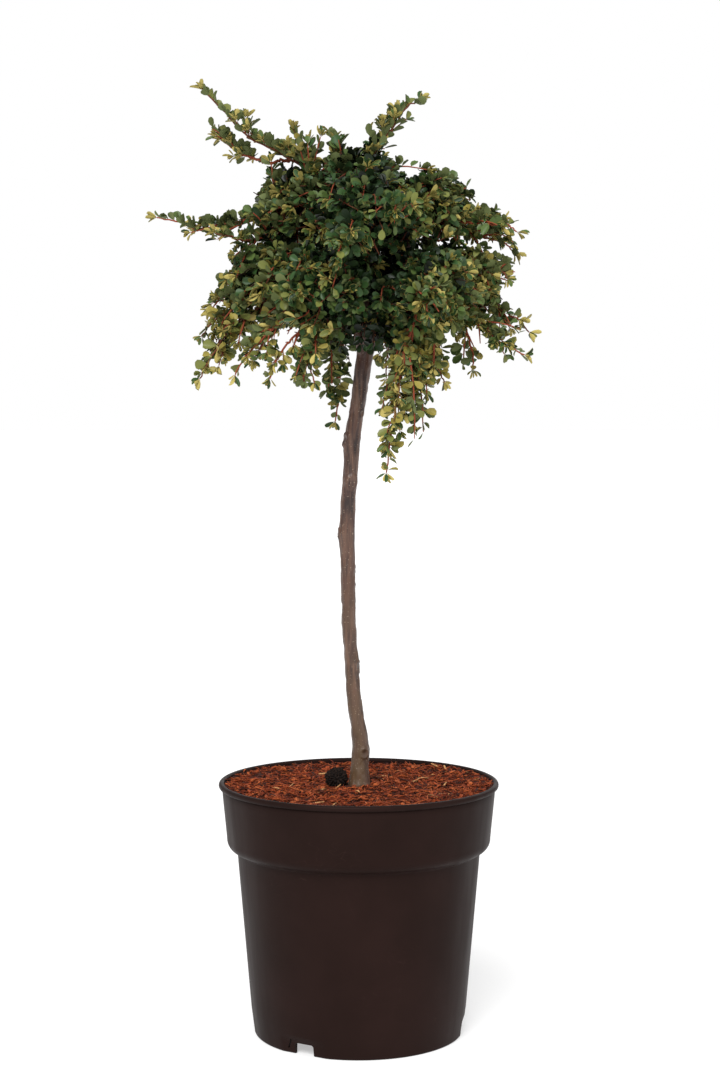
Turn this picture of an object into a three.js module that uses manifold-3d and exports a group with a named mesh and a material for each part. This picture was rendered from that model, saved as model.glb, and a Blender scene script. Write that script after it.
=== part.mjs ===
// A standard cotoneaster: a small-leaved weeping shrub grafted on a clear stem,
// standing in a round nursery pot topped with bark mulch.
//
// Millimetres, +Z up. The origin is the centre of the pot's underside, +X runs to
// the right and +Y to the back. The plant is a clear stem with a swollen graft union
// on top. Boughs rise from the union through an open core. Each one ends in a mass of
// foliage, and the arching or hanging sprays grow on from the masses.
import * as THREE from "three";
import { mergeVertices } from "three/addons/utils/BufferGeometryUtils.js";
import Module from "manifold-3d";

const wasm = await Module();
wasm.setup();

// ---------------------------------------------------------------- driving dimensions
const GAP = 0.5; // clearance between neighbouring solids

const POT = {
  height: 236,
  rimRadius: 130.8,
  bead: 2.8,
  collarTopRadius: 128,
  collarFootRadius: 123,
  collarFootZ: 183,
  shoulderRadius: 113.3,
  shoulderZ: 172.5,
  baseRadius: 97.8,
  footHeight: 11,
  skirt: 3.7,
  discRadius: 44,
  discFlare: 3,
  footRound: 2,
  draft: 0.5,
  wall: 1.8,
  segments: 36,
};
// Drain openings through the foot ring, each in a shallow flat panel.
const NOTCH = {
  count: 3,
  width: 18,
  height: 10.5,
  firstAngle: -121,
  panelWidth: 46,
  panelHeight: 12.5,
  panelDepth: 1.2,
};

const SOIL = { freeboard: 5, mound: 0.8, bump: 1.6, shoulder: 2, segments: 20 };

const STEM = {
  sides: 8,
  rings: 24,
  // Height over the soil as a share of the stem, sideways and front-to-back offset,
  // and diameter.
  stations: [
    [0.0, 0.5, 0, 18.6],
    [0.04, 0.8, 0, 16.2],
    [0.11, 1.0, 0.5, 14.8],
    [0.2, -4.3, 1.5, 13.6],
    [0.3, -7.4, 2.5, 12.6],
    [0.4, -9.0, 3, 13.2],
    [0.6, -10.4, 2, 13.8],
    [0.72, -7.8, 1, 14.0],
    [0.82, -4.4, 0.5, 14.2],
    [0.92, 1.4, 0, 14.4],
    [1.0, 6.2, 0, 15.2],
  ],
  // Old pruning scars: share of the stem's height, direction in degrees, height in mm.
  knots: [
    [0.075, 20, 2.4],
    [0.19, 175, 1.2],
    [0.275, 5, 3.2],
    [0.385, 178, 1.8],
    [0.46, 100, 1.6],
    [0.585, 182, 2.4],
    [0.7, -70, 1.6],
    [0.8, 170, 3.0],
    [0.9, 60, 1.8],
  ],
};

const UNION = { x: 7.5, y: 0, z: 652, radius: 13, height: 34 };
const BOUGH = { radius: 4.6, endRadius: 2.6, arch: 5, rings: 3, sides: 5 };
const CORE = { radius: 30, height: 62 }; // the open space that the boughs cross

// Masses of the dome: direction and height of the centre, its distance from the dome's
// axis, and radius. Azimuth 0 is +X, 90 the back, 180 -X, 270 the front.
const DOME_AXIS_X = 10;
const DOME = [
  { name: "top", azimuth: 150, out: 10, z: 783, radius: 41 },
  { name: "upper_right", azimuth: 14, out: 47, z: 761, radius: 46 },
  { name: "upper_back", azimuth: 92, out: 54, z: 754, radius: 46 },
  { name: "upper_left", azimuth: 168, out: 61, z: 766, radius: 45 },
  { name: "upper_front", azimuth: 268, out: 56, z: 750, radius: 48 },
  { name: "low_right", azimuth: 2, out: 72, z: 698, radius: 45 },
  { name: "low_back_right", azimuth: 62, out: 70, z: 696, radius: 45 },
  { name: "low_back_left", azimuth: 122, out: 70, z: 693, radius: 45 },
  { name: "low_left", azimuth: 180, out: 83, z: 700, radius: 46 },
  { name: "low_front_left", azimuth: 238, out: 72, z: 692, radius: 45 },
  { name: "low_front_right", azimuth: 306, out: 73, z: 688, radius: 46 },
];
const MASS_FLATTEN = 0.93; // height of a mass over its width
const MASS_UNEVEN = 0.2;

// Sprays: the mass each one grows from, then where its tip is (azimuth, reach from the
// pot's axis, height), how far its middle stands over the straight line to the tip, and
// its radius where it leaves the mass.
const SPRAYS = [
  { name: "high_left", from: "top", azimuth: 176, reach: 148, z: 884, arch: -13, girth: 22 },
  { name: "high_left_fork", from: "upper_left", azimuth: 168, reach: 134, z: 833, arch: 2, girth: 18 },
  { name: "left_tuft", from: "top", azimuth: 160, reach: 66, z: 845, arch: -2, girth: 19 },
  { name: "far_left", from: "upper_left", azimuth: 174, reach: 188, z: 758, arch: -3, girth: 17 },
  { name: "left_facing", from: "upper_left", azimuth: 199, reach: 142, z: 743, arch: -12, girth: 17 },
  { name: "left_skirt_upper", from: "low_left", azimuth: 168, reach: 143, z: 680, arch: 3, girth: 19 },
  { name: "left_skirt_middle", from: "low_left", azimuth: 186, reach: 147, z: 652, arch: 3, girth: 18 },
  { name: "left_skirt_tip", from: "low_left", azimuth: 192, reach: 158, z: 606, arch: 4, girth: 19 },
  { name: "left_skirt_inner", from: "low_front_left", azimuth: 207, reach: 128, z: 616, arch: 3, girth: 18 },
  { name: "under_left", from: "low_front_left", azimuth: 221, reach: 108, z: 603, arch: -2, girth: 17 },
  { name: "under_left_short", from: "low_front_left", azimuth: 236, reach: 80, z: 607, arch: 4, girth: 15 },
  { name: "tail", from: "low_front_right", azimuth: 289, reach: 76, z: 518, arch: 8, girth: 19 },
  { name: "tail_short", from: "low_front_right", azimuth: 314, reach: 74, z: 563, arch: 8, girth: 16 },
  { name: "behind_stem", from: "low_back_left", azimuth: 118, reach: 60, z: 567, arch: 8, girth: 15 },
  { name: "low_right_inner", from: "low_front_right", azimuth: 331, reach: 90, z: 600, arch: 5, girth: 17 },
  { name: "low_right_outer", from: "low_right", azimuth: 6, reach: 110, z: 620, arch: 6, girth: 16 },
  { name: "right_skirt_tip", from: "low_right", azimuth: 346, reach: 155, z: 632, arch: -5, girth: 16 },
  { name: "far_right", from: "low_right", azimuth: 3, reach: 160, z: 657, arch: 3, girth: 16 },
  { name: "right_middle", from: "low_right", azimuth: 352, reach: 137, z: 706, arch: 3, girth: 18 },
  { name: "right_upper", from: "upper_right", azimuth: 7, reach: 148, z: 730, arch: 4, girth: 16 },
  { name: "right_arm", from: "upper_right", azimuth: 350, reach: 147, z: 748, arch: 3, girth: 15 },
  { name: "right_shoulder", from: "upper_right", azimuth: 13, reach: 100, z: 794, arch: 3, girth: 17 },
  { name: "high_right", from: "top", azimuth: 15, reach: 68, z: 867, arch: 29, girth: 18 },
  { name: "top_left", from: "top", azimuth: 160, reach: 24, z: 833, arch: 0, girth: 15 },
  { name: "front_upper", from: "upper_front", azimuth: 292, reach: 124, z: 762, arch: 5, girth: 19 },
  { name: "front_middle", from: "upper_front", azimuth: 262, reach: 138, z: 716, arch: 8, girth: 20 },
  { name: "front_low_right", from: "low_front_right", azimuth: 296, reach: 136, z: 671, arch: 7, girth: 19 },
  { name: "back_high", from: "upper_back", azimuth: 84, reach: 118, z: 806, arch: 4, girth: 18 },
  { name: "back_left_arm", from: "upper_back", azimuth: 118, reach: 150, z: 742, arch: 6, girth: 18 },
  { name: "back_right_arm", from: "low_back_right", azimuth: 52, reach: 152, z: 688, arch: 6, girth: 18 },
  { name: "back_left_skirt", from: "low_back_left", azimuth: 136, reach: 146, z: 634, arch: 5, girth: 19 },
  { name: "back_right_skirt", from: "low_back_right", azimuth: 80, reach: 138, z: 616, arch: 6, girth: 19 },
];
const SPRAY = { rings: 5, sides: 6, tipShare: 0.62, uneven: 0.2, bow: 0.9 };

// ------------------------------------------------------------------------- materials
const material = (color, roughness) =>
  new THREE.MeshStandardMaterial({ color, roughness, metalness: 0 });
const PLASTIC = material(0x322725, 0.5);
const MULCH = material(0x7a3a20, 0.95);
const FEED = material(0x1b1614, 0.9);
const BARK = material(0x5b4c44, 0.8);
const TWIG = material(0x6e4436, 0.75);
const LEAF = material(0x2f4a30, 0.55);

// ------------------------------------------------------------------- solids and noise
function solidOf(geometry) {
  const bare = new THREE.BufferGeometry();
  const open = geometry.index ? geometry.toNonIndexed() : geometry;
  bare.setAttribute("position", open.getAttribute("position"));
  const merged = mergeVertices(bare, 1e-3);
  return new wasm.Manifold(
    new wasm.Mesh({
      numProp: 3,
      vertProperties: merged.attributes.position.array,
      triVerts: new Uint32Array(merged.index.array),
    }),
  );
}

function geometryOf(solid) {
  const mesh = solid.getMesh();
  const points = new Float32Array(mesh.numVert * 3);
  for (let i = 0; i < mesh.numVert; i++)
    points.set(mesh.vertProperties.subarray(i * mesh.numProp, i * mesh.numProp + 3), i * 3);
  const geometry = new THREE.BufferGeometry();
  geometry.setAttribute("position", new THREE.BufferAttribute(points, 3));
  geometry.setIndex(new THREE.BufferAttribute(new Uint32Array(mesh.triVerts), 1));
  geometry.computeVertexNormals();
  return geometry;
}

// The largest body left after a cut.
function mainBody(solid) {
  return solid.decompose().reduce((best, body) => (body.volume() > best.volume() ? body : best));
}

// Smooth, repeatable unevenness between about -1 and 1.
function ripple(x, y, z, seed) {
  return (
    0.5 * Math.sin(0.061 * x + 1.7 * seed) * Math.cos(0.053 * y - 0.9 * seed) +
    0.3 * Math.sin(0.117 * z + 2.3 * seed + 0.04 * x) +
    0.2 * Math.cos(0.19 * (x + y) - 0.13 * z + seed)
  );
}

const polar = (azimuth, reach, z, axisX = 0) =>
  new THREE.Vector3(
    axisX + reach * Math.cos(THREE.MathUtils.degToRad(azimuth)),
    reach * Math.sin(THREE.MathUtils.degToRad(azimuth)),
    z,
  );

// A closed tube of changing radius along a curve. radiusAt gets the share of the length,
// the direction round the tube and the point on the centre line.
function tube(curve, rings, sides, radiusAt, flatEnds) {
  const frames = curve.computeFrenetFrames(rings);
  const points = [];
  const faces = [];
  for (let i = 0; i <= rings; i++) {
    const share = i / rings;
    const centre = curve.getPointAt(share);
    for (let k = 0; k < sides; k++) {
      const turn = (2 * Math.PI * k) / sides;
      const out = frames.normals[i]
        .clone()
        .multiplyScalar(Math.cos(turn))
        .addScaledVector(frames.binormals[i], Math.sin(turn));
      if (flatEnds) out.setZ(0).normalize();
      points.push(centre.clone().addScaledVector(out, radiusAt(share, out, centre)));
    }
  }
  for (let i = 0; i < rings; i++)
    for (let k = 0; k < sides; k++) {
      const a = i * sides + k;
      const b = i * sides + ((k + 1) % sides);
      faces.push(a, b, b + sides, a, b + sides, a + sides);
    }
  const start = points.push(curve.getPointAt(0)) - 1;
  const end = points.push(curve.getPointAt(1)) - 1;
  const last = rings * sides;
  for (let k = 0; k < sides; k++) {
    const next = (k + 1) % sides;
    faces.push(start, next, k, end, last + k, last + next);
  }
  const geometry = new THREE.BufferGeometry().setFromPoints(points);
  geometry.setIndex(faces);
  return geometry;
}

// ------------------------------------------------------------------------------- pot
// Points of a part circle (or ellipse) from one angle to another, in degrees.
function arc(x, z, radiusX, radiusZ, from, to, steps) {
  return Array.from({ length: steps + 1 }, (_, i) => {
    const a = THREE.MathUtils.degToRad(from + ((to - from) * i) / steps);
    return [x + radiusX * Math.cos(a), z + radiusZ * Math.sin(a)];
  });
}

const COLLAR_ROUND = { x: 9, z: 10 }; // the collar's rounded lower edge

function potSolid() {
  const p = POT;
  const beadZ = p.height - p.bead;
  const roundX = p.collarFootRadius - COLLAR_ROUND.x;
  const outside = [
    [0, 0],
    [p.discRadius, 0],
    [p.discRadius + p.discFlare, p.footHeight],
    [p.baseRadius - p.skirt - p.draft, p.footHeight],
    [p.baseRadius - p.skirt, 0],
    ...arc(p.baseRadius - p.footRound, p.footRound, p.footRound, p.footRound, -90, 0, 2),
    [p.shoulderRadius, p.shoulderZ],
    ...arc(roundX, p.collarFootZ, COLLAR_ROUND.x, COLLAR_ROUND.z, -90, 0, 2),
    ...arc(p.collarTopRadius, beadZ, p.bead, p.bead, -80, 150, 4),
  ];
  const inside = [
    [p.collarTopRadius - p.wall, beadZ - p.bead],
    ...arc(roundX, p.collarFootZ, COLLAR_ROUND.x - p.wall, COLLAR_ROUND.z - p.wall, 0, -90, 2),
    [p.shoulderRadius - p.wall, p.shoulderZ],
    [p.baseRadius - p.wall + p.draft, p.footHeight + p.wall],
    [p.discRadius + p.discFlare - p.wall, p.footHeight + p.wall],
    [p.discRadius - p.wall, p.wall],
    [0, p.wall],
  ];
  const profile = [...outside, ...inside].map(([x, z]) => new THREE.Vector2(x, z));
  const shell = solidOf(new THREE.LatheGeometry(profile, p.segments).rotateX(Math.PI / 2));
  return Array.from({ length: NOTCH.count }, (_, i) => i).reduce((pot, i) => {
    const turn = THREE.MathUtils.degToRad(NOTCH.firstAngle + (360 * i) / NOTCH.count);
    return pot.subtract(notchTool(turn)).subtract(panelTool(turn));
  }, shell);
}

// The drain opening at the foot of the wall, and the shallow panel it sits in.
function notchTool(turn) {
  const box = new THREE.BoxGeometry(4 * POT.skirt, NOTCH.width, 2 * NOTCH.height);
  box.translate(POT.baseRadius - POT.footRound, 0, 0).rotateZ(turn);
  return solidOf(box);
}

function panelTool(turn) {
  const box = new THREE.BoxGeometry(POT.skirt, NOTCH.panelWidth, 2 * NOTCH.panelHeight);
  box.translate(POT.baseRadius - NOTCH.panelDepth + POT.skirt / 2, 0, 0).rotateZ(turn);
  return solidOf(box);
}

// ------------------------------------------------------------------------------ soil
const soilTopAt = (radius) =>
  POT.height - SOIL.freeboard + SOIL.mound * (1 - (radius / POT.collarFootRadius) ** 2);

const CLEARING = 25; // the mulch is level this far round the stem
const SLACK = 0.7; // what facets of a different count need over the clearance

function soilSolid() {
  const p = POT;
  const clear = p.wall + GAP;
  const wallRadius = (z) =>
    THREE.MathUtils.mapLinear(z, p.footHeight, p.shoulderZ, p.baseRadius + p.draft, p.shoulderRadius) - clear;
  const floor = p.footHeight + p.wall + GAP;
  const rimRadius = p.collarTopRadius - clear - 2 * SLACK;
  const side = [
    [0, p.wall + GAP],
    [p.discRadius - clear - SLACK, p.wall + GAP],
    [p.discRadius + p.discFlare - clear - SLACK, floor],
    [wallRadius(p.footHeight) - SLACK, floor],
    [wallRadius(p.shoulderZ) - SLACK, p.shoulderZ],
    [p.collarFootRadius - COLLAR_ROUND.x / 2, p.collarFootZ - COLLAR_ROUND.z / 4],
    [p.collarFootRadius - clear - SLACK, p.collarFootZ + COLLAR_ROUND.z / 2],
    [rimRadius, p.height - SOIL.freeboard - SOIL.shoulder],
  ];
  const top = [0.85, 0.68, 0.5, 0.3, 0].map((share) => [
    rimRadius * share,
    soilTopAt(rimRadius * share),
  ]);
  const profile = [...side, ...top].map(([x, z]) => new THREE.Vector2(x, z));
  const geometry = new THREE.LatheGeometry(profile, SOIL.segments).rotateX(Math.PI / 2);
  const at = geometry.getAttribute("position");
  for (let i = 0; i < at.count; i++) {
    const radius = Math.hypot(at.getX(i), at.getY(i));
    const onTop = at.getZ(i) > p.height - SOIL.freeboard - SOIL.shoulder / 2 && radius > CLEARING;
    if (onTop) at.setZ(i, at.getZ(i) + SOIL.bump * ripple(3 * at.getX(i), 3 * at.getY(i), 0, 4));
  }
  return solidOf(geometry);
}

// A spent plug of slow-release feed lying on the mulch beside the stem.
const PLUG = { x: -20.5, y: -7, lift: 7.6, half: [10.8, 10.2, 10.4], uneven: 0.08 };

function feedSolid() {
  const plug = new THREE.IcosahedronGeometry(1, 1).scale(...PLUG.half);
  const at = plug.getAttribute("position");
  for (let i = 0; i < at.count; i++) {
    const swell = 1 + PLUG.uneven * ripple(9 * at.getX(i), 9 * at.getY(i), 9 * at.getZ(i), 2);
    at.setXYZ(i, at.getX(i) * swell, at.getY(i) * swell, at.getZ(i) * swell);
  }
  return solidOf(plug.translate(PLUG.x, PLUG.y, soilTopAt(-PLUG.x) + PLUG.lift));
}

// ------------------------------------------------------------------------------ stem
const STEM_FOOT = soilTopAt(0) + GAP;
const STEM_TOP = UNION.z - UNION.height / 2 - GAP;

function bump(distance, width) {
  return Math.exp(-((distance / width) ** 2));
}

function stemSolid(extra = 0) {
  const heightAt = (share) => STEM_FOOT + share * (STEM_TOP - STEM_FOOT);
  const line = new THREE.CatmullRomCurve3(
    STEM.stations.map(([share, x, y]) => new THREE.Vector3(x, y, heightAt(share))),
  );
  const radiusAt = (_, out, centre) => {
    const share = (centre.z - STEM_FOOT) / (STEM_TOP - STEM_FOOT);
    const above = STEM.stations.findIndex(([s]) => s >= share - 1e-6);
    const [s1, , , d1] = STEM.stations[Math.max(above, 1)];
    const [s0, , , d0] = STEM.stations[Math.max(above, 1) - 1];
    const base = THREE.MathUtils.mapLinear(share, s0, s1, d0, d1) / 2;
    const swell = STEM.knots.reduce((sum, [s, turn, height]) => {
      const away = Math.abs(share - s) * (STEM_TOP - STEM_FOOT);
      const facing = Math.max(0, out.dot(polar(turn, 1, 0)));
      return sum + height * bump(away, 6) * facing ** 2;
    }, 0);
    return base + swell + extra;
  };
  return solidOf(tube(line, STEM.rings, STEM.sides, radiusAt, true));
}

function unionSolid(extra = 0) {
  const ball = new THREE.IcosahedronGeometry(1, 1);
  const at = ball.getAttribute("position");
  for (let i = 0; i < at.count; i++) {
    const [x, y, z] = [at.getX(i), at.getY(i), at.getZ(i)];
    const radius = UNION.radius * (1 + 0.1 * ripple(24 * x, 24 * y, 24 * z, 7)) + extra;
    at.setXYZ(i, UNION.x + x * radius, UNION.y + y * radius, UNION.z + z * (UNION.height / 2 + extra));
  }
  return solidOf(ball);
}

// --------------------------------------------------------------------- foliage masses
const UNION_AT = new THREE.Vector3(UNION.x, UNION.y, UNION.z);
const centreOf = (mass) => polar(mass.azimuth, mass.out, mass.z, DOME_AXIS_X);

function massBlob(mass, seed, extra) {
  const centre = centreOf(mass);
  const ball = new THREE.IcosahedronGeometry(1, 2);
  const at = ball.getAttribute("position");
  for (let i = 0; i < at.count; i++) {
    const [x, y, z] = [at.getX(i), at.getY(i), at.getZ(i)];
    const uneven = 1 + MASS_UNEVEN * ripple(70 * x, 70 * y, 70 * z, seed);
    const radius = mass.radius * uneven + extra;
    at.setXYZ(i, centre.x + x * radius, centre.y + y * radius, centre.z + z * radius * MASS_FLATTEN);
  }
  return solidOf(ball);
}

// Two masses that meet are parted along the plane where their spheres cross.
function partFrom(solid, mass, other) {
  const away = centreOf(mass).sub(centreOf(other));
  const apart = away.length();
  if (apart >= mass.radius + other.radius) return solid;
  const fromOther = (apart ** 2 + other.radius ** 2 - mass.radius ** 2) / (2 * apart);
  const normal = away.normalize();
  const offset = centreOf(other).dot(normal) + fromOther + GAP / 2;
  return solid.trimByPlane([normal.x, normal.y, normal.z], offset);
}

function coreSolid() {
  const ball = new THREE.IcosahedronGeometry(1, 2).scale(CORE.radius, CORE.radius, CORE.height);
  return solidOf(ball.translate(UNION.x, UNION.y, UNION.z));
}

// The centre line of a spray: out of its mass, over its arch and on to its tip.
function sprayLine(spray) {
  const start = centreOf(DOME.find((mass) => mass.name === spray.from));
  const tip = polar(spray.azimuth, spray.reach, spray.z);
  const at = (share) => {
    const point = start.clone().lerp(tip, share ** SPRAY.bow);
    point.z = THREE.MathUtils.lerp(start.z, tip.z, share) + 4 * share * (1 - share) * spray.arch;
    return point;
  };
  return new THREE.CatmullRomCurve3([0, 0.25, 0.5, 0.75, 0.92, 1].map(at));
}

function sprayBlob(spray, seed, extra) {
  const radiusAt = (share, out, centre) => {
    const taper = THREE.MathUtils.lerp(1, SPRAY.tipShare, share);
    const ends = Math.sqrt(Math.max(0.05, 1 - (2 * share - 1) ** 10));
    const wave = ripple(2 * centre.x + 40 * out.x, 2 * centre.y + 40 * out.y, 2 * centre.z, seed);
    return spray.girth * taper * ends * (1 + SPRAY.uneven * wave) + extra;
  };
  return solidOf(tube(sprayLine(spray), SPRAY.rings, SPRAY.sides, radiusAt, false));
}

function boughSolid(mass, extra = 0) {
  const end = centreOf(mass);
  const start = UNION_AT.clone().lerp(end, 0.06);
  const middle = start.clone().lerp(end, 0.5);
  middle.z += BOUGH.arch;
  const radiusAt = (share) => THREE.MathUtils.lerp(BOUGH.radius, BOUGH.endRadius, share) + extra;
  const line = new THREE.CatmullRomCurve3([start, middle, end]);
  return solidOf(tube(line, BOUGH.rings, BOUGH.sides, radiusAt, false));
}

// -------------------------------------------------------------------------- assembly
const plant = new THREE.Group();

function add(name, solid, look) {
  const mesh = new THREE.Mesh(geometryOf(solid), look);
  mesh.name = name;
  plant.add(mesh);
}

add("pot", potSolid(), PLASTIC);
const feedClear = feedSolid();
add("soil", soilSolid().subtract(feedClear.translate([0, 0, -GAP])).subtract(feedClear), MULCH);
add("feed_plug", feedSolid(), FEED);
add("stem", stemSolid(), BARK);
add("graft_union", unionSolid(), BARK);

const woodClear = stemSolid(2).add(unionSolid(GAP)).add(coreSolid());

const massClear = DOME.map((mass, i) => massBlob(mass, i + 1, GAP));
DOME.forEach((mass, i) => {
  const parted = DOME.reduce(
    (solid, other) => (other === mass ? solid : partFrom(solid, mass, other)),
    massBlob(mass, i + 1, 0),
  );
  add("mass_" + mass.name, mainBody(parted.subtract(woodClear)), LEAF);
});

let taken = unionSolid(GAP);
DOME.forEach((mass) => {
  const inCore = massClear.reduce((solid, clear) => solid.subtract(clear), boughSolid(mass));
  add("bough_" + mass.name, mainBody(inCore.subtract(taken)), TWIG);
  taken = taken.add(boughSolid(mass, GAP));
});

let filled = massClear.reduce((all, clear) => all.add(clear)).add(woodClear);
SPRAYS.forEach((spray, i) => {
  add("spray_" + spray.name, mainBody(sprayBlob(spray, i + 20, 0).subtract(filled)), LEAF);
  filled = filled.add(sprayBlob(spray, i + 20, GAP));
});

export default plant;
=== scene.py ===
"""Looks for a standard cotoneaster: a small-leaved weeping shrub grafted on a clear stem,
in a round nursery pot topped with shredded bark.

Lengths are millimetres unless a name says otherwise, and MM turns them into metres where a mesh
is made. The crown grows from the frame: each mass of foliage is filled with limbs, shoots and
leaves that start from its bough, and each spray follows the centre line of its own solid.
Every random draw is seeded.
"""
import math
import random

import bmesh
import bpy
import numpy as np
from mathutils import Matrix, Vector, noise
from mathutils.bvhtree import BVHTree
from numpy.linalg import norm


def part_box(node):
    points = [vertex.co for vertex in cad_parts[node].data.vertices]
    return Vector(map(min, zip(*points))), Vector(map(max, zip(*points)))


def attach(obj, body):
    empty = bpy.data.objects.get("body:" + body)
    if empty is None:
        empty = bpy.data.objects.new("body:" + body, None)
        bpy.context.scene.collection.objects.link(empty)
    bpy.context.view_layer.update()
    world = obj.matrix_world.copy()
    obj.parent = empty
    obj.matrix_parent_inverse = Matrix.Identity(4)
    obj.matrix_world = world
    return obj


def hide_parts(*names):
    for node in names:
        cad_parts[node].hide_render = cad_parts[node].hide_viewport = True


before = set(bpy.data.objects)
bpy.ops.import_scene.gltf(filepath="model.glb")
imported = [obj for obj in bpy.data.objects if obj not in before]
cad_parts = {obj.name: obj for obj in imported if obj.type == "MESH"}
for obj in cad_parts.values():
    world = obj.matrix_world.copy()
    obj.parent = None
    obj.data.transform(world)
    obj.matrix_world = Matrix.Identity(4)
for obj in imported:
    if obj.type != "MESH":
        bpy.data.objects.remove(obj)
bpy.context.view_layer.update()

MM = 0.001
CAMERA_AT = (0.0012, -1.9273, 0.5799)  # metres
CAMERA_LENS, CAMERA_DIP = 69.37, 3.53  # millimetres, and degrees below the level
EYE = np.array(CAMERA_AT) / MM
UP = np.array([0.0, 0.0, 1.0])
rng = random.Random(20)
uniform, gauss, choice, choices = rng.uniform, rng.gauss, rng.choice, rng.choices
wave = noise.noise


# ---- vectors
def unit(v):
    return v / max(norm(v), 1e-9)


def across(direction, turn):
    """A unit vector square to direction, turned round it. Turn 0 is sideways, pi / 2 is up."""
    side = np.cross(direction, UP)
    if norm(side) < 0.05:
        side = np.array([1.0, 0.0, 0.0])
    side = unit(side)
    return side * math.cos(turn) + np.cross(side, direction) * math.sin(turn)


def compass(turn, z=0.0):
    """A level direction, with this much rise."""
    return np.array([math.cos(turn), math.sin(turn), z])


def any_turn():
    return uniform(0, math.tau)


def jitter(size):
    return np.array([gauss(0, size) for _ in range(3)])


def spline(points, steps):
    """A Catmull-Rom curve through the points, with this many steps between two of them."""
    points = np.asarray(points, float)
    ends = [2 * points[0] - points[1], *points, 2 * points[-1] - points[-2]]
    out = []
    for a, b, c, d in zip(ends, ends[1:], ends[2:], ends[3:]):
        for t in np.arange(steps) / steps:
            out.append(0.5 * (2 * b + (c - a) * t + (2 * a - 5 * b + 4 * c - d) * t**2
                              + (3 * b - a - 3 * c + d) * t**3))
    return np.array([*out, points[-1]])


def resample(line, count):
    """The same line as count points, evenly spaced."""
    run = np.concatenate([[0], np.cumsum(norm(np.diff(line, axis=0), axis=1))])
    where = np.linspace(0, run[-1], count)
    return np.stack([np.interp(where, run, line[:, k]) for k in range(3)], axis=1)


# ---- mesh making
class Pile:
    """Many small solids, gathered to become one joined mesh with several material slots."""

    def __init__(self):
        self.points, self.faces, self.slots, self.count = [], [], [], 0

    def add(self, points, faces, slots):
        """Faces is an array of triangles or of quads. Slots is one number, or one per face."""
        faces = np.asarray(faces)
        self.points.append(np.asarray(points, float))
        self.faces.append(faces + self.count)
        self.slots.append(np.broadcast_to(slots, (len(faces),)))
        self.count += len(points)
        return self.count - len(points)

    def fan(self, base, middle, one, other, slot):
        """Triangles from the middle to an edge loop, on points counted from base."""
        self.faces.append(np.stack([np.full(len(one), middle), one, other], axis=1) + base)
        self.slots.append(np.full(len(one), slot))

    def piece(self, name, materials, slot, replaces=()):
        mesh = bpy.data.meshes.new(name)
        points = np.concatenate(self.points) * MM
        sizes = np.concatenate([np.full(len(f), f.shape[1]) for f in self.faces])
        corners = np.concatenate([f.ravel() for f in self.faces])
        mesh.vertices.add(len(points))
        mesh.vertices.foreach_set("co", points.ravel())
        mesh.loops.add(len(corners))
        mesh.loops.foreach_set("vertex_index", corners.astype(np.int32))
        mesh.polygons.add(len(sizes))
        starts = np.concatenate([[0], np.cumsum(sizes)[:-1]])
        mesh.polygons.foreach_set("loop_start", starts.astype(np.int32))
        mesh.polygons.foreach_set("material_index", np.concatenate(self.slots).astype(np.int32))
        mesh.polygons.foreach_set("use_smooth", np.full(len(sizes), True))
        mesh.update(calc_edges=True)
        return place(name, mesh, materials, replaces)


def add_object(name, data):
    thing = bpy.data.objects.new(name, data)
    bpy.context.scene.collection.objects.link(thing)
    return thing


def mesh_of(form, name):
    """The mesh of a finished form, which is freed."""
    mesh = bpy.data.meshes.new(name)
    form.to_mesh(mesh)
    form.free()
    return mesh


def place(name, mesh, materials, replaces=()):
    """Puts a mesh in the scene as a piece of the plant."""
    piece = add_object(name, mesh)
    for material in materials:
        mesh.materials.append(material)
    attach(piece, "root")
    if replaces:
        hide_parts(*replaces)
    return piece


def around(sides):
    """The numbers of a ring's points, and of the next point to each."""
    k = np.arange(sides)
    return k, (k + 1) % sides


def add_rings(pile, points, sides, slot):
    """A closed skin over rings of points. The last two points close its first and last ring."""
    far = len(points) - 2 - sides
    k, n = around(sides)
    ring = np.arange(0, far, sides)[:, None]
    a, b = (ring + k).ravel(), (ring + n).ravel()
    base = pile.add(points, np.stack([a, b, b + sides, a + sides], axis=1), slot)
    pile.fan(base, len(points) - 2, n, k, slot)
    pile.fan(base, len(points) - 1, far + k, far + n, slot)


def tube(pile, line, radii, sides, slot, relief=None):
    """A closed tube along a line. Radii are the first and the last, or one for each point, and
    relief(point) adds to them."""
    line = np.asarray(line, float)
    if len(radii) == 2:
        radii = np.linspace(*radii, len(line))
    along = np.gradient(line, axis=0)
    along /= norm(along, axis=1)[:, None]
    side = across(along[0], 0.3)
    turns = np.arange(sides) * math.tau / sides
    rings = []
    for i, (centre, forward) in enumerate(zip(line, along)):
        side = unit(side - forward * side.dot(forward))
        other = np.cross(forward, side)
        out = np.outer(np.cos(turns), side) + np.outer(np.sin(turns), other)
        radius = np.full(sides, radii[i])
        if relief:
            radius += [relief(Vector(centre + way * radii[i])) for way in out]
        rings.append(centre + out * radius[:, None])
    add_rings(pile, np.concatenate([*rings, line[:1] - along[:1] * radii[0] * 0.4,
                                    line[-1:] + along[-1:] * radii[-1] * 0.8]), sides, slot)


# ---- materials
def colour(red, green, blue):
    """A display colour from 0 to 255, as Blender's linear colour."""
    def linear(c):
        c /= 255
        return c / 12.92 if c <= 0.04045 else ((c + 0.055) / 1.055) ** 2.4
    return (linear(red), linear(green), linear(blue), 1)


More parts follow.
